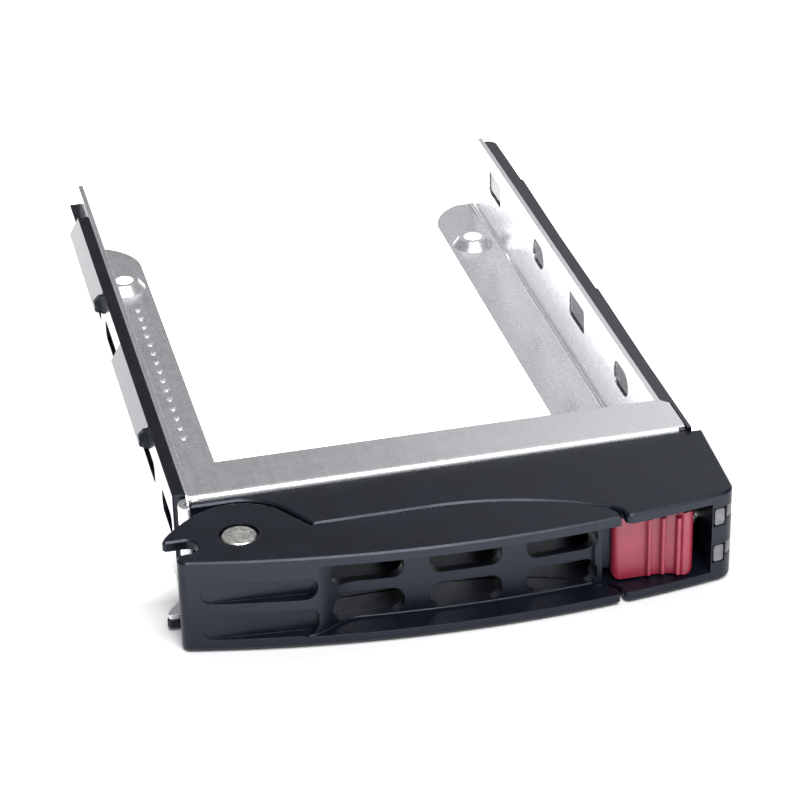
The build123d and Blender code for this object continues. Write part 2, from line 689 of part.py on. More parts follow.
# Recesses in the flush part of the lever's front, running out at the left
RECESS_ROWS = ((-0.2, 4.1), (5.6, 8.9))
RECESS_LEFT = -37.3
RECESS_RIGHT = -21.5
with BuildPart() as finger_recesses:
    with BuildSketch(Plane.XZ.offset(-FRONT + 12)):
        for low, high in RECESS_ROWS:
            with Locations(((RECESS_LEFT + RECESS_RIGHT) / 2, (low + high) / 2)):
                RectangleRounded(RECESS_RIGHT - RECESS_LEFT, high - low, 1.6)
    extrude(amount=12)
    with BuildSketch(Plane.XY.offset(SHELL_BOTTOM)):
        Polygon(
            (-37.5, FRONT - 15.8),
            (-33.0, FRONT - 16.1),
            (RECESS_RIGHT, FRONT - 17.2),
            (RECESS_RIGHT, FRONT - 24.0),
            (-37.5, FRONT - 24.0),
            align=None,
        )
    extrude(amount=SHELL_TOP - SHELL_BOTTOM, mode=Mode.INTERSECT)

# Lever: two plates joined by the front wall, hooked at the left, caught by the latch at the right
with BuildPart() as lever:
    add(lever_plate)
    mirror(about=SHELL_MIDDLE)
    with BuildSketch(Plane.XY.offset(PLATE_LOW_Z)):
        add(front_wall_outline())
        make_face()
    extrude(amount=PLATE_TOP_Z - PLATE_LOW_Z)
    # Catch at the free end, behind the latch's nose
    with BuildSketch(Plane.XY.offset(PLATE_LOW_Z)):
        with Locations(((GRILLE_END + 18.1) / 2, FRONT - 15.3)):
            Rectangle(GRILLE_END - 18.1, 3.3)
    extrude(amount=PLATE_TOP_Z - PLATE_LOW_Z)
    with BuildSketch(Plane.XY.offset(GUIDE_Z - 4.2)):
        with Locations(((GRILLE_END + 21.6) / 2, FRONT - 14.4)):
            Rectangle(21.6 - GRILLE_END, 1.5)
    extrude(amount=8.4)
    with BuildSketch(Plane.XZ.offset(-FRONT + 10)):
        with Locations(*[(x, z) for x in SLOT_COLUMNS for z in SLOT_ROWS]):
            RectangleRounded(SLOT_LENGTH, SLOT_HEIGHT, SLOT_CORNER)
    extrude(amount=14, mode=Mode.SUBTRACT)
    add(finger_recesses.part, mode=Mode.SUBTRACT)
    with Locations((PIVOT[0], PIVOT[1], 5.0)):
        Cylinder(PIN_R + PIN_CLEARANCE, 30.0, mode=Mode.SUBTRACT)
    with Locations((PIVOT[0], PIVOT[1], SHELL_TOP)):
        Cylinder(PIN_R + 0.3, 1.4, mode=Mode.SUBTRACT)
    with Locations((PIVOT[0], PIVOT[1], SHELL_BOTTOM)):
        Cylinder(4.4, 1.6, mode=Mode.SUBTRACT)
    with BuildSketch(Plane.XY.offset(SHELL_BOTTOM)):
        with Locations(*HOOK_RIVETS):
            Circle(HOOK_RIVET_R)
    extrude(amount=PLATE, mode=Mode.SUBTRACT)
lever.part.label = "lever"
export_step(lever.part, "parts/lever.step")

# Steel hook that stiffens the lever's lower plate, riveted to it
with BuildPart() as hook_plate:
    with BuildSketch(Plane.XY.offset(PLATE_LOW_Z)):
        add(lever_outline())
        make_face()
        offset(amount=-0.15, mode=Mode.REPLACE)
        with Locations((-33.6, FRONT - 6.2)):
            Rectangle(15.8, 9.0, mode=Mode.INTERSECT)
        with Locations(PIVOT):
            Circle(HOOK_EYE_R)
            Circle(PIN_R + PIN_CLEARANCE, mode=Mode.SUBTRACT)
        with Locations(*HOOK_RIVETS):
            Circle(HOOK_RIVET_R, mode=Mode.SUBTRACT)
    extrude(amount=HOOK_SHEET)
hook_plate.part.label = "hook_plate"
export_step(hook_plate.part, "parts/hook_plate.step")

# Rivets through the hook plate and the lever's lower plate
with BuildPart() as hook_rivets:
    with BuildSketch(Plane.XY.offset(SHELL_BOTTOM + EDGE)):
        with Locations(*HOOK_RIVETS):
            Circle(HOOK_RIVET_R)
    extrude(amount=PLATE - EDGE + HOOK_SHEET)
    with BuildSketch(Plane.XY.offset(PLATE_LOW_Z + HOOK_SHEET)):
        with Locations(*HOOK_RIVETS):
            Circle(2 * HOOK_RIVET_R)
    extrude(amount=RIVET_HEAD)
hook_rivets.part.label = "hook_rivets"
export_step(hook_rivets.part, "parts/hook_rivets.step")

# Pivot pin, grooved near its foot for the retaining clip
PIN_TOP = SHELL_TOP - 0.1
PIN_FOOT = SHELL_BOTTOM + 0.1
CLIP_Z = SHELL_BOTTOM + 0.25
CLIP_SHEET = 0.4
with BuildPart() as pivot_pin:
    with Locations((PIVOT[0], PIVOT[1], (PIN_TOP + PIN_FOOT) / 2)):
        Cylinder(PIN_R, PIN_TOP - PIN_FOOT)
    chamfer(pivot_pin.edges().sort_by(Axis.Z)[-1], length=0.25)
    with BuildSketch(Plane.XY.offset(CLIP_Z)):
        with Locations(PIVOT):
            Circle(PIN_R + 1)
            Circle(PIN_R - 0.45, mode=Mode.SUBTRACT)
    extrude(amount=CLIP_SHEET + 0.05, mode=Mode.SUBTRACT)
pivot_pin.part.label = "pivot_pin"
export_step(pivot_pin.part, "parts/pivot_pin.step")

# Retaining clip in the pin's groove
with BuildPart() as pivot_clip:
    with BuildSketch(Plane.XY.offset(CLIP_Z + 0.02)):
        with Locations(PIVOT):
            Circle(4.1)
            Circle(PIN_R + 0.5, mode=Mode.SUBTRACT)
            with PolarLocations(PIN_R + 0.1, 3, start_angle=90):
                Rectangle(1.0, 1.6)
            Circle(PIN_R - 0.4, mode=Mode.SUBTRACT)
        with Locations((PIVOT[0], PIVOT[1] - 4.0)):
            Rectangle(3.2, 3.6, mode=Mode.SUBTRACT)
    extrude(amount=CLIP_SHEET)
pivot_clip.part.label = "pivot_clip"
export_step(pivot_clip.part, "parts/pivot_clip.step")

# Release latch: ribbed thumb slide on a guide pin, with a nose in front of the lever's catch
LATCH_LOW = PLATE_LOW_Z + LATCH_LOW_GAP
LATCH_HIGH = PLATE_TOP_Z - LATCH_TOP_GAP
RIB_WIDTH = 0.6
RIB_RISE = 0.55
RIB_PLACES = ((25.9, 0.0), (27.9, 0.1), (29.9, 0.8))
THUMB_Y = LATCH_FACE_Y - 1.3
LATCH_ROUND = 1.1
LATCH_CORNER = 0.9
RIB_LOW_INSET = 0.4
RIB_TOP_INSET = 0.6
with BuildPart() as release_latch:
    with BuildSketch(Plane.XY.offset(LATCH_LOW)):
        with BuildLine():
            Polyline(
                (LATCH_LEFT, LATCH_FACE_Y + LATCH_ROUND),
                (LATCH_LEFT, LATCH_BACK_Y),
                (LATCH_RIGHT, LATCH_BACK_Y),
                (LATCH_RIGHT, LATCH_FACE_Y - 0.4),
            )
            ThreePointArc((LATCH_RIGHT, LATCH_FACE_Y - 0.4), (31.3, THUMB_Y + 0.12), (30.7, THUMB_Y))
            ThreePointArc((30.7, THUMB_Y), (29.4, LATCH_FACE_Y - 0.45), (27.4, LATCH_FACE_Y))
            Line((27.4, LATCH_FACE_Y), (LATCH_LEFT + LATCH_ROUND, LATCH_FACE_Y))
            ThreePointArc(
                (LATCH_LEFT + LATCH_ROUND, LATCH_FACE_Y),
                (LATCH_LEFT + 0.35, LATCH_FACE_Y + 0.35),
                (LATCH_LEFT, LATCH_FACE_Y + LATCH_ROUND),
            )
        make_face()
    extrude(amount=LATCH_HIGH - LATCH_LOW)
    with BuildSketch(Plane.XZ.offset(-THUMB_Y + 1)):
        with Locations(((LATCH_LEFT + LATCH_RIGHT) / 2, (LATCH_LOW + LATCH_HIGH) / 2)):
            RectangleRounded(LATCH_RIGHT - LATCH_LEFT, LATCH_HIGH - LATCH_LOW, LATCH_CORNER)
    extrude(amount=-10, mode=Mode.INTERSECT)
    with BuildSketch(Plane.XY.offset(LATCH_LOW + RIB_LOW_INSET)):
        for place, advance in RIB_PLACES:
            with Locations((place, LATCH_FACE_Y - advance - RIB_RISE / 2 + 0.1)):
                RectangleRounded(RIB_WIDTH, RIB_RISE + 0.8, 0.25)
    extrude(amount=LATCH_HIGH - LATCH_LOW - RIB_LOW_INSET - RIB_TOP_INSET)
    # Slide block on the guide pin
    with BuildSketch(Plane.XY.offset(GUIDE_Z - 2.6)):
        Polygon(
            (SLIDE_LEFT, LATCH_BACK_Y - 0.5),
            (SLIDE_RIGHT, LATCH_BACK_Y - 0.5),
            (SLIDE_RIGHT, FRONT - 9.2),
            (SLIDE_LEFT, FRONT - 9.2),
            align=None,
        )
    extrude(amount=5.2)
    with BuildSketch(Plane.YZ.offset(STOP_RIB[1] - 1)):
        with Locations((GUIDE_Y, GUIDE_Z)):
            Circle(GUIDE_R + PIN_CLEARANCE)
    extrude(amount=12, mode=Mode.SUBTRACT)
release_latch.part.label = "release_latch"
export_step(release_latch.part, "parts/release_latch.step")

# Guide pin of the latch, pressed into the stop rib and the end block
with BuildPart() as latch_guide_pin:
    with BuildSketch(Plane.YZ.offset(STOP_RIB[0])):
        with Locations((GUIDE_Y, GUIDE_Z)):
            Circle(GUIDE_R)
    extrude(amount=GUIDE_END - STOP_RIB[0])
latch_guide_pin.part.label = "latch_guide_pin"
export_step(latch_guide_pin.part, "parts/latch_guide_pin.step")

# Return spring of the latch, round the guide pin between the slide block and the end block
LATCH_COIL_PLANE = Plane(origin=(SLIDE_RIGHT + 0.25, GUIDE_Y, GUIDE_Z), x_dir=(0, 1, 0), z_dir=(1, 0, 0))
latch_coil = coil(1.45, 0.2, 4.4, 5, LATCH_COIL_PLANE)
with BuildPart() as latch_spring:
    add(latch_coil)
latch_spring.part.label = "latch_spring"
export_step(latch_spring.part, "parts/latch_spring.step")

# Torsion spring round the pivot pin, between the knuckle's arms: one leg bears on the back
# plate, the other one pushes the lever open from behind its grille
COIL_R = 3.2
WIRE_R = 0.35
COIL_TURNS = 3.25
COIL_LOW = LOWER_ARM[1] + WIRE_R + 0.6
COIL_HIGH = UPPER_ARM[0] - WIRE_R - 0.3
LEG_BEND = 0.8
LEVER_LEG = 18.5
with BuildLine() as turns:
    Helix((COIL_HIGH - COIL_LOW) / COIL_TURNS, COIL_HIGH - COIL_LOW, COIL_R)
lever_coil = turns.line.moved(Plane((*PIVOT, COIL_LOW), x_dir=(-1, 0, 0)).location)
coil_start = lever_coil @ 0
coil_end = lever_coil @ 1
fixed_corner = coil_start - (lever_coil % 0) * (FRONT - BACK_PLATE - LEG_BEND - coil_start.Y)
lever_corner = coil_end + (lever_coil % 1) * LEVER_LEG
with BuildPart() as lever_spring:
    with BuildLine() as path:
        FilletPolyline(fixed_corner + Vector(4.0, 0, 0), fixed_corner, coil_start, radius=LEG_BEND)
        add(lever_coil)
        FilletPolyline(coil_end, lever_corner, lever_corner + Vector(0.9, -0.6, 1.2), radius=LEG_BEND)
    with BuildSketch(Plane(origin=path.wire() @ 0, z_dir=path.wire() % 0)):
        Circle(WIRE_R)
    sweep(path=path.wire())
lever_spring.part.label = "lever_spring"
export_step(lever_spring.part, "parts/lever_spring.step")
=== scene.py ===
"""Looks of an empty hot-swap tray for a 2.5-inch drive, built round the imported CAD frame."""

import json
from math import cos, pi, radians, sin

import bmesh
import bpy
from mathutils import Matrix, Vector


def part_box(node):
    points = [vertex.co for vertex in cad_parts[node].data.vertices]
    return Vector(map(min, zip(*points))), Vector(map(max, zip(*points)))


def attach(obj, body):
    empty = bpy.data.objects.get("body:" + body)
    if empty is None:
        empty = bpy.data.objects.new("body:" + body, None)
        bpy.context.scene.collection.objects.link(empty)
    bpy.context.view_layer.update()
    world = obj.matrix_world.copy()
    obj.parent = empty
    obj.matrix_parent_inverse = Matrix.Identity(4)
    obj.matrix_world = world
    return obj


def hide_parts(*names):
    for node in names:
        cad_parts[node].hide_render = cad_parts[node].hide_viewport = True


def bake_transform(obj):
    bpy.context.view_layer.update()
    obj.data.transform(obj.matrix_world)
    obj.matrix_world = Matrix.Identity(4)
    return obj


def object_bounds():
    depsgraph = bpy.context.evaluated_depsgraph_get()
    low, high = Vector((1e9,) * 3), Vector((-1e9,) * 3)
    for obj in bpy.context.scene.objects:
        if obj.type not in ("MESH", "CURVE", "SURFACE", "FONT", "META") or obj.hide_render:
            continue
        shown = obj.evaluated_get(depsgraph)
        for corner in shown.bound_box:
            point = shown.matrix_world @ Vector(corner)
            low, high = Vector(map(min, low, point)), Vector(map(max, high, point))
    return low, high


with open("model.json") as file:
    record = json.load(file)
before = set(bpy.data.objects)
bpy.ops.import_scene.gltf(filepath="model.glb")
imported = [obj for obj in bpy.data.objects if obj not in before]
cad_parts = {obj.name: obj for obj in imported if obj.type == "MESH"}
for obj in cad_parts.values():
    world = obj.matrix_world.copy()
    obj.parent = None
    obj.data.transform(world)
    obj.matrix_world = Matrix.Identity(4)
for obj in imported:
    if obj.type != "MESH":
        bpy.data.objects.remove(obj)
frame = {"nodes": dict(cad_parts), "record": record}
cad_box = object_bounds()
MM = 0.001

# Camera of the photograph, in metres and degrees
CAMERA_AT = (-0.08183, -0.38399, 0.21147)
CAMERA_AZIMUTH = 13.182
CAMERA_ELEVATION = 29.187
CAMERA_ROLL = -1.343
CAMERA_LENS = 124.34
CAMERA_CLIP_START = 0.01

# Key light: where it comes from, its strength, and its width in degrees
KEY_FROM = (0.04, -0.49, 0.87)
KEY_ENERGY = 3.0
KEY_WIDTH = 32

# Least brightness of the studio, by the sine of the elevation
STUDIO_LEVELS = ((0.0, 0.6), (0.12, 0.4), (0.3, 0.1), (0.75, 0.1), (1.0, 0.2))
STUDIO_TINT = (0.96, 0.98, 1, 1)

# Dark gap that runs over the studio from front to back, at that x of the direction. Panels get
# brighter on both sides of it, reach a full level, and fade further out to a share of it
GAP_X = 0.08
GAP_LEVEL = 0.135
PANEL_RISE = 13.0
PANEL_LEVEL = 1.15
PANEL_FADE = (0.33, 0.48)
PANEL_FADE_SHARE = 0.18

# Floor, its glow in front of the lever and behind the bezel, and the width of the glow's soft edge
FLOOR_SIZE = 12
FLOOR_COLOR = (0.9, 0.9, 0.91, 1)
FLOOR_ROUGHNESS = 0.8
FLOOR_SPECULAR = 0.1
FLOOR_GLOW_FRONT = 1.2
FLOOR_GLOW_REAR = 1.3
GLOW_EDGE = 13.0 * MM


# ---------------------------------------------------------------- shader nodes

def new_material(name):
    """A material, its node tree and its shader."""
    material = bpy.data.materials.new(name)
    material.use_nodes = True
    tree = material.node_tree
    return material, tree, tree.nodes["Principled BSDF"]


def noise(tree, scale, detail, stretch=(1, 1, 1)):
    """Noise over the object's own coordinates; scale is in cycles per metre."""
    coordinates = tree.nodes.new("ShaderNodeTexCoord")
    mapping = tree.nodes.new("ShaderNodeMapping")
    mapping.inputs["Scale"].default_value = stretch
    texture = tree.nodes.new("ShaderNodeTexNoise")
    texture.inputs["Scale"].default_value = scale
    texture.inputs["Detail"].default_value = detail
    tree.links.new(coordinates.outputs["Object"], mapping.inputs["Vector"])
    tree.links.new(mapping.outputs["Vector"], texture.inputs["Vector"])
    return texture.outputs["Fac"]


def cells(tree, scale):
    """Random value in each cell of a Voronoi pattern, as in the spangle of zinc."""
    coordinates = tree.nodes.new("ShaderNodeTexCoord")
    texture = tree.nodes.new("ShaderNodeTexVoronoi")
    texture.inputs["Scale"].default_value = scale
    tree.links.new(coordinates.outputs["Object"], texture.inputs["Vector"])
    split = tree.nodes.new("ShaderNodeSeparateColor")
    tree.links.new(texture.outputs["Color"], split.inputs["Color"])
    return split.outputs["Red"]


def spread(tree, value, low, high, start=0.3, end=0.7):
    """value between start and end, spread over low to high."""
    node = tree.nodes.new("ShaderNodeMapRange")
    node.inputs["From Min"].default_value = start
    node.inputs["From Max"].default_value = end
    node.inputs["To Min"].default_value = low
    node.inputs["To Max"].default_value = high
    tree.links.new(value, node.inputs["Value"])
    return node.outputs["Result"]


def paint(tree, shader, value, color_a, color_b):
    """Base colour that goes from color_a to color_b with value."""
    node = tree.nodes.new("ShaderNodeMix")
    node.data_type = "RGBA"
    node.inputs["A"].default_value = (*color_a, 1)
    node.inputs["B"].default_value = (*color_b, 1)
    tree.links.new(value, node.inputs["Factor"])
    tree.links.new(node.outputs["Result"], shader.inputs["Base Color"])


def add_up(tree, value_a, value_b, share_b):
    """value_a plus share_b times value_b."""
    node = tree.nodes.new("ShaderNodeMath")
    node.operation = "MULTIPLY_ADD"
    node.inputs[1].default_value = share_b
    tree.links.new(value_b, node.inputs[0])
    tree.links.new(value_a, node.inputs[2])
    return node.outputs["Value"]


def calculate(tree, operation, value, operand=0.0):
    """Result of a Math node on a value and a number, or on two values."""
    node = tree.nodes.new("ShaderNodeMath")
    node.operation = operation
    tree.links.new(value, node.inputs[0])
    if isinstance(operand, (int, float)):
        node.inputs[1].default_value = operand
    else:
        tree.links.new(operand, node.inputs[1])
    return node.outputs["Value"]


def relief(tree, shader, height, depth, edge_radius):
    """Bump of that depth in metres over edges that are rounded by edge_radius."""
    edges = tree.nodes.new("ShaderNodeBevel")
    edges.samples = 4
    edges.inputs["Radius"].default_value = edge_radius
    bump = tree.nodes.new("ShaderNodeBump")
    bump.inputs["Distance"].default_value = depth
    tree.links.new(edges.outputs["Normal"], bump.inputs["Normal"])
    tree.links.new(height, bump.inputs["Height"])
    tree.links.new(bump.outputs["Normal"], shader.inputs["Normal"])


# ---------------------------------------------------------------- materials

def black_plastic(name, roughness, grain_depth, coat):
    """Black moulded plastic: fine eroded grain, uneven gloss and, on the rails, a shiny skin."""
    material, tree, shader = new_material(name)
    grain = noise(tree, scale=5200, detail=4)
    blotches = noise(tree, scale=210, detail=4)
    tint = spread(tree, blotches, low=0, high=1)
    paint(tree, shader, tint, (0.0030, 0.0036, 0.0076), (0.0056, 0.0066, 0.0125))
    worn = spread(tree, blotches, low=roughness - 0.04, high=roughness + 0.05)
    gloss = add_up(tree, worn, spread(tree, grain, low=-0.5, high=0.5), share_b=0.1)
    tree.links.new(gloss, shader.inputs["Roughness"])
    shader.inputs["Specular IOR Level"].default_value = 0.38
    shader.inputs["Specular Tint"].default_value = (0.77, 0.86, 1.0, 1)
    shader.inputs["Coat Weight"].default_value = coat
    shader.inputs["Coat Roughness"].default_value = 0.12
    shader.inputs["Coat IOR"].default_value = 1.5
    relief(tree, shader, grain, depth=grain_depth, edge_radius=0.16 * MM)
    return material


def galvanised_steel():
    """Zinc-coated sheet: faint spangle, fine grain, rolling lines and cloudy tone."""
    material, tree, shader = new_material("galvanised_steel")
    spangle = cells(tree, scale=900)
    grain = noise(tree, scale=7400, detail=4)
    rolling = noise(tree, scale=1300, detail=2, stretch=(1, 0.05, 1))
    clouds = noise(tree, scale=70, detail=3)
    cloudy = add_up(tree, spread(tree, clouds, low=0, high=0.3), spangle, share_b=0.12)
    tone = add_up(tree, cloudy, grain, share_b=0.7)
    paint(tree, shader, tone, (0.82, 0.82, 0.84), (0.97, 0.97, 0.99))
    shader.inputs["Metallic"].default_value = 0.9
    gloss = add_up(tree, spread(tree, rolling, low=0.24, high=0.28), spangle, share_b=0.04)
    tree.links.new(gloss, shader.inputs["Roughness"])
    relief(tree, shader, grain, depth=0.007 * MM, edge_radius=0.18 * MM)
    return material


def red_plastic():
    """Dark red moulded plastic, slightly translucent and fairly glossy."""
    material, tree, shader = new_material("red_plastic")
    flow = noise(tree, scale=260, detail=3)
    grain = noise(tree, scale=4000, detail=3)
    tint = spread(tree, flow, low=0, high=1)
    paint(tree, shader, tint, (0.24, 0.013, 0.034), (0.31, 0.021, 0.049))
    tree.links.new(spread(tree, flow, low=0.28, high=0.38), shader.inputs["Roughness"])
    shader.inputs["Specular IOR Level"].default_value = 0.7
    shader.inputs["Subsurface Weight"].default_value = 0.12
    shader.inputs["Subsurface Radius"].default_value = (1.2 * MM, 0.4 * MM, 0.3 * MM)
    relief(tree, shader, grain, depth=0.012 * MM, edge_radius=0.18 * MM)
    return material


def lens_plastic(name, dark, light, roughness):
    """Frosted acrylic of a light pipe or a status lens."""
    material, tree, shader = new_material(name)
    haze = noise(tree, scale=700, detail=4)
    paint(tree, shader, spread(tree, haze, low=0, high=1), dark, light)
    gloss = spread(tree, haze, low=roughness, high=roughness + 0.12)
    tree.links.new(gloss, shader.inputs["Roughness"])
    shader.inputs["Transmission Weight"].default_value = 0.35
    frost = noise(tree, scale=2600, detail=3)
    relief(tree, shader, frost, depth=0.02 * MM, edge_radius=0.1 * MM)
    return material


def turned_steel():
    """Plated pin or rivet with a mottled, slightly yellow end face."""
    material, tree, shader = new_material("turned_steel")
    mottle = noise(tree, scale=1500, detail=6)
    tint = spread(tree, mottle, low=0, high=1)
    paint(tree, shader, tint, (0.60, 0.58, 0.54), (0.95, 0.93, 0.89))
    shader.inputs["Metallic"].default_value = 1.0
    tree.links.new(spread(tree, mottle, low=0.30, high=0.48), shader.inputs["Roughness"])
    relief(tree, shader, mottle, depth=0.06 * MM, edge_radius=0.12 * MM)
    return material


def spring_steel():
    """Drawn wire with fine grain and a dark oil film."""
    material, tree, shader = new_material("spring_steel")
    film = noise(tree, scale=900, detail=4)
    tint = spread(tree, film, low=0, high=1)
    paint(tree, shader, tint, (0.20, 0.20, 0.21), (0.48, 0.48, 0.50))
    shader.inputs["Metallic"].default_value = 1.0
    tree.links.new(spread(tree, film, low=0.22, high=0.38), shader.inputs["Roughness"])
    grain = noise(tree, scale=5000, detail=3)
    relief(tree, shader, grain, depth=0.01 * MM, edge_radius=0.06 * MM)
    return material


def zinc_screw():
    """Bright zinc plating with a faint bluish haze."""
    material, tree, shader = new_material("zinc_screw")
    haze = noise(tree, scale=1200, detail=4)
    tint = spread(tree, haze, low=0, high=1)
    paint(tree, shader, tint, (0.52, 0.54, 0.58), (0.74, 0.75, 0.78))
    shader.inputs["Metallic"].default_value = 1.0
    tree.links.new(spread(tree, haze, low=0.2, high=0.34), shader.inputs["Roughness"])
    relief(tree, shader, haze, depth=0.02 * MM, edge_radius=0.1 * MM)
    return material


MATERIALS = {
    "black_plastic": black_plastic(
        "black_plastic", roughness=0.34, grain_depth=0.025 * MM, coat=0.0
    ),
    "galvanised_steel": galvanised_steel(),
    "red_plastic": red_plastic(),
    "light_pipe": lens_plastic(
        "light_pipe", dark=(0.12, 0.125, 0.14), light=(0.27, 0.275, 0.295), roughness=0.28
    ),
    "smoked_lens": lens_plastic(
        "smoked_lens", dark=(0.12, 0.12, 0.13), light=(0.22, 0.22, 0.235), roughness=0.25
    ),
    "pin_steel": turned_steel(),
    "spring_steel": spring_steel(),
    "fastener_steel": zinc_screw(),
}

RAIL_PLASTIC = black_plastic("rail_plastic", roughness=0.2, grain_depth=0.006 * MM, coat=0.5)

SLOT_OF_NODE = {sub["node"]: sub["material_slot"] for sub in frame["record"]["subparts"]}
for node_name, node in frame["nodes"].items():
    finish = RAIL_PLASTIC if node_name.endswith("_rail") else MATERIALS[SLOT_OF_NODE[node_name]]
    for material_slot in node.material_slots:
        material_slot.material = finish


# ---------------------------------------------------------------- shapes

# Direction that none of the beads runs along
TUBE_REFERENCE = Vector((0.13, 0.31, 1.0))


def full_turn(steps):
    """Angles of that many equal steps round a circle."""
    return [2 * pi * k / steps for k in range(steps)]


def mesh_piece(name, mesh_data, slot):
    """Object made from a bmesh, with the material of a slot."""
    mesh = bpy.data.meshes.new(name)
    mesh_data.to_mesh(mesh)
    mesh_data.free()
    piece = bpy.data.objects.new(name, mesh)
    bpy.context.scene.collection.objects.link(piece)
    piece.data.materials.append(MATERIALS[slot])
    return piece


def smooth(mesh_data):
    """Smooth shading on every face of a bmesh."""
    for face in mesh_data.faces:
        face.smooth = True


def spring_wire(node_name):
    """Smooth-shaded copy of a spring's node, which takes the node's place."""
    mesh_data = bmesh.new()
    mesh_data.from_mesh(frame["nodes"][node_name].data)
    smooth(mesh_data)
    wire = mesh_piece(node_name + "_wire", mesh_data, "spring_steel")
    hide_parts(node_name)
    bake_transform(wire)


def dome(mesh_data, centre, radius, height, sides=20, rings=4):
    """Shallow dome on a level face, closed underneath."""
    loops = []
    for ring in range(rings):
        lean = 0.5 * pi * ring / rings
        loops.append([
            mesh_data.verts.new(centre + Vector((
                radius * cos(lean) * cos(turn), radius * cos(lean) * sin(turn), height * sin(lean)
            )))
            for turn in full_turn(sides)
        ])
    top = mesh_data.verts.new(centre + Vector((0, 0, height)))
    for lower, upper in zip(loops, loops[1:]):
        for k in range(sides):
            mesh_data.faces.new((lower[k], lower[k - 1], upper[k - 1], upper[k]))
    for k in range(sides):
        mesh_data.faces.new((loops[-1][k], loops[-1][k - 1], top))
    mesh_data.faces.new(loops[0])
    bmesh.ops.recalc_face_normals(mesh_data, faces=mesh_data.faces)


def tube(mesh_data, path, radius, sides=12, closed=False):
    """Round bead along points of a path; every ring stands square to the path."""
    count = len(path)
    rings = []
    for k, point in enumerate(path):
        before = path[k - 1] if closed or k else point
        after = path[(k + 1) % count] if closed or k < count - 1 else point
        ahead = (after - before).normalized()
        side = ahead.cross(TUBE_REFERENCE).normalized()
        rise = side.cross(ahead)
        rings.append([
            mesh_data.verts.new(point + radius * (side * cos(turn) + rise * sin(turn)))
            for turn in full_turn(sides)
        ])
    pairs = list(zip(rings, rings[1:]))
    if closed:
        pairs.append((rings[-1], rings[0]))
    for ring, following in pairs:
        for j in range(sides):
            mesh_data.faces.new((ring[j - 1], ring[j], following[j], following[j - 1]))
    if not closed:
        mesh_data.faces.new(rings[0])
        mesh_data.faces.new(rings[-1])
    bmesh.ops.recalc_face_normals(mesh_data, faces=mesh_data.faces)
    smooth(mesh_data)


# ---------------------------------------------------------------- pieces

# Copies of the two springs, in place of their nodes
spring_wire(
    "lever_spring",
)
spring_wire(
    "latch_spring",
)

# Rows of peened dimples along the left flange: each row's distance from the chassis's left side
# and its shift along the flange
SHEET = 0.8 * MM
DIMPLE_R = 0.55 * MM
DIMPLE_RISE = 0.22 * MM
DIMPLE_ROWS = ((4.6 * MM, 0.0), (7.4 * MM, 1.6 * MM))
DIMPLE_COUNT = 15
DIMPLE_START = -17 * MM
DIMPLE_PITCH = 3.2 * MM
chassis_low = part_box("steel_chassis")[0]
dimples = bmesh.new()
for inset, shift in DIMPLE_ROWS:
    for k in range(DIMPLE_COUNT):
        along = DIMPLE_START + shift + k * DIMPLE_PITCH
        centre = Vector((chassis_low[0] + inset, along, chassis_low[2] + SHEET))
        dome(dimples, centre, DIMPLE_R, DIMPLE_RISE)
smooth(dimples)
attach(mesh_piece("flange_dimples", dimples, "galvanised_steel"), "tray")

# Rings left by the moulds' ejector pins under the bezel and the lever: x, and y from the
# bezel's back, in millimetres
RING_R = 1.2 * MM
RING_BEAD = 0.07 * MM
RING_STEPS = 32
EJECTORS = {
    "tray": ((-14, -5), (3, -5), (17, -6), (27, -9), (35, -8)),
    "lever": ((-33, -13), (-18, -15), (-3, -16), (12, -17.5)),
}
bezel_low, bezel_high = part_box("bezel_body")
for body, places in EJECTORS.items():
    rings = bmesh.new()
    for x, y in places:
        middle = Vector((x * MM, bezel_high[1] + y * MM, bezel_low[2]))
        circle = [
            middle + RING_R * Vector((cos(turn), sin(turn), 0)) for turn in full_turn(RING_STEPS)
        ]
        tube(rings, circle, RING_BEAD, sides=8, closed=True)
    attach(mesh_piece(f"{body}_ejector_rings", rings, "black_plastic"), body)

# Bead along the foot of the lever's grille. It starts on the lever's front curve and sweeps
# back to the grille
CURVE_X = 4.0 * MM
CURVE_R = 178.0 * MM
GRILLE_SETBACK = 3.9 * MM
LIP_HEIGHT = 1.5 * MM
BEAD_R = 0.3 * MM
BEAD_LIFT = 0.1 * MM
BEAD_LEFT = -23.6 * MM
BEAD_SPAN = 42.7 * MM
BEAD_SWEEP = 8.1 * MM
BEAD_STEPS = 40
lever_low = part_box("lever")[0]


def front_y(x, setback):
    """Y of the lever's front curve at x, or of the curve that lies setback behind it."""
    radius = CURVE_R - setback
    return lever_low[1] + CURVE_R - (radius**2 - (x - CURVE_X) ** 2) ** 0.5


bead_path = []
for k in range(BEAD_STEPS + 1):
    x = BEAD_LEFT + BEAD_SPAN * k / BEAD_STEPS
    share = min((x - BEAD_LEFT) / BEAD_SWEEP, 1)
    ease = share * share * (3 - 2 * share)
    y = front_y(x, GRILLE_SETBACK * ease)
    bead_path.append(Vector((x, y, lever_low[2] + LIP_HEIGHT + BEAD_LIFT)))
bead = bmesh.new()
tube(bead, bead_path, BEAD_R)
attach(mesh_piece("grille_bead", bead, "black_plastic"), "lever")


# ---------------------------------------------------------------- stage

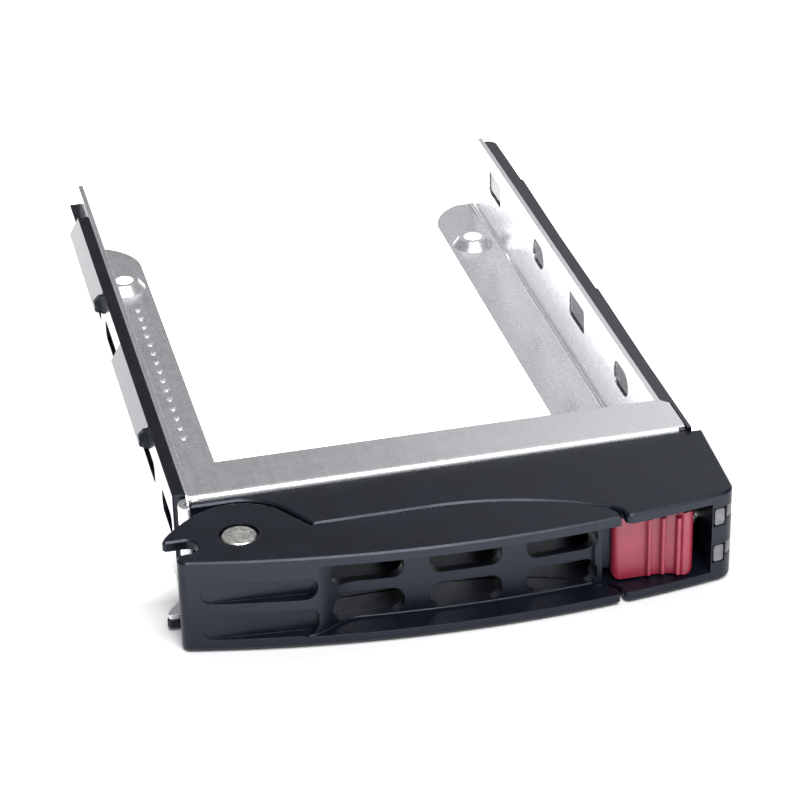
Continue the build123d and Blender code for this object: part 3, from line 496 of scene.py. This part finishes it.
def add_floor(lowest, lever_front, bezel_back):
    """Pale floor that glows in front of the lever and behind the bezel, but not under them."""
    bpy.ops.mesh.primitive_plane_add(size=FLOOR_SIZE, location=(0, 0, lowest))
    floor = bpy.context.object
    floor.name = "floor"
    material, tree, shader = new_material("pale_floor")
    shader.inputs["Base Color"].default_value = FLOOR_COLOR
    shader.inputs["Roughness"].default_value = FLOOR_ROUGHNESS
    shader.inputs["Specular IOR Level"].default_value = FLOOR_SPECULAR
    shader.inputs["Emission Color"].default_value = (1, 1, 1, 1)
    coordinates = tree.nodes.new("ShaderNodeTexCoord")
    split = tree.nodes.new("ShaderNodeSeparateXYZ")
    tree.links.new(coordinates.outputs["Object"], split.inputs["Vector"])
    along = split.outputs["Y"]
    glow_front = spread(
        tree, along, FLOOR_GLOW_FRONT, 0, start=lever_front - GLOW_EDGE, end=lever_front
    )
    glow_rear = spread(
        tree, along, 0, FLOOR_GLOW_REAR, start=bezel_back, end=bezel_back + GLOW_EDGE
    )
    glow = add_up(tree, glow_front, glow_rear, share_b=1.0)
    tree.links.new(glow, shader.inputs["Emission Strength"])
    floor.data.materials.append(material)


def add_studio():
    """World that is dark in a gap from front to back, with lighter panels on both sides of it."""
    world = bpy.data.worlds.new("studio")
    world.use_nodes = True
    tree = world.node_tree
    coordinates = tree.nodes.new("ShaderNodeTexCoord")
    split = tree.nodes.new("ShaderNodeSeparateXYZ")
    tree.links.new(coordinates.outputs["Generated"], split.inputs["Vector"])
    ramp = tree.nodes.new("ShaderNodeValToRGB")
    for position, level in STUDIO_LEVELS[2:]:
        ramp.color_ramp.elements.new(position)
    for element, (position, level) in zip(ramp.color_ramp.elements, STUDIO_LEVELS):
        element.position = position
        element.color = (level, level, level, 1)
    tree.links.new(split.outputs["Z"], ramp.inputs["Fac"])
    offset = calculate(tree, "SUBTRACT", split.outputs["X"], GAP_X)
    aside = calculate(tree, "ABSOLUTE", offset)
    rise = calculate(tree, "MULTIPLY", calculate(tree, "POWER", aside, 2), PANEL_RISE)
    panels = calculate(tree, "MINIMUM", calculate(tree, "ADD", rise, GAP_LEVEL), PANEL_LEVEL)
    fade_start, fade_end = PANEL_FADE
    fade = spread(tree, aside, 1.0, PANEL_FADE_SHARE, start=fade_start, end=fade_end)
    panels = calculate(tree, "MULTIPLY", panels, fade)
    brightness = calculate(tree, "MAXIMUM", ramp.outputs["Color"], panels)
    tree.nodes["Background"].inputs["Color"].default_value = STUDIO_TINT
    tree.links.new(brightness, tree.nodes["Background"].inputs["Strength"])
    bpy.context.scene.world = world


def add_key_light():
    """Soft key light from high in front."""
    sun = bpy.data.lights.new("key", "SUN")
    sun.energy = KEY_ENERGY
    sun.angle = radians(KEY_WIDTH)
    key = bpy.data.objects.new("key", sun)
    key.rotation_euler = Vector(KEY_FROM).to_track_quat("Z", "Y").to_euler()
    bpy.context.scene.collection.objects.link(key)


def add_camera():
    """Camera at the photograph's place and angle."""
    azimuth = radians(CAMERA_AZIMUTH)
    elevation = radians(CAMERA_ELEVATION)
    roll = radians(CAMERA_ROLL)
    ahead = Vector((sin(azimuth) * cos(elevation), cos(azimuth) * cos(elevation), -sin(elevation)))
    level_right = Vector((cos(azimuth), -sin(azimuth), 0))
    level_up = level_right.cross(ahead)
    right = level_right * cos(roll) + level_up * sin(roll)
    up = level_up * cos(roll) - level_right * sin(roll)
    data = bpy.data.cameras.new("camera")
    data.lens = CAMERA_LENS
    data.clip_start = CAMERA_CLIP_START
    camera = bpy.data.objects.new("camera", data)
    turned = Matrix((right, up, -ahead)).transposed().to_4x4()
    camera.matrix_world = Matrix.Translation(CAMERA_AT) @ turned
    bpy.context.scene.collection.objects.link(camera)
    bpy.context.scene.camera = camera


add_floor(lowest=cad_box[0][2], lever_front=cad_box[0][1], bezel_back=chassis_low[1])
add_studio()
add_key_light()
add_camera()
bpy.context.scene.view_settings.view_transform = "Standard"
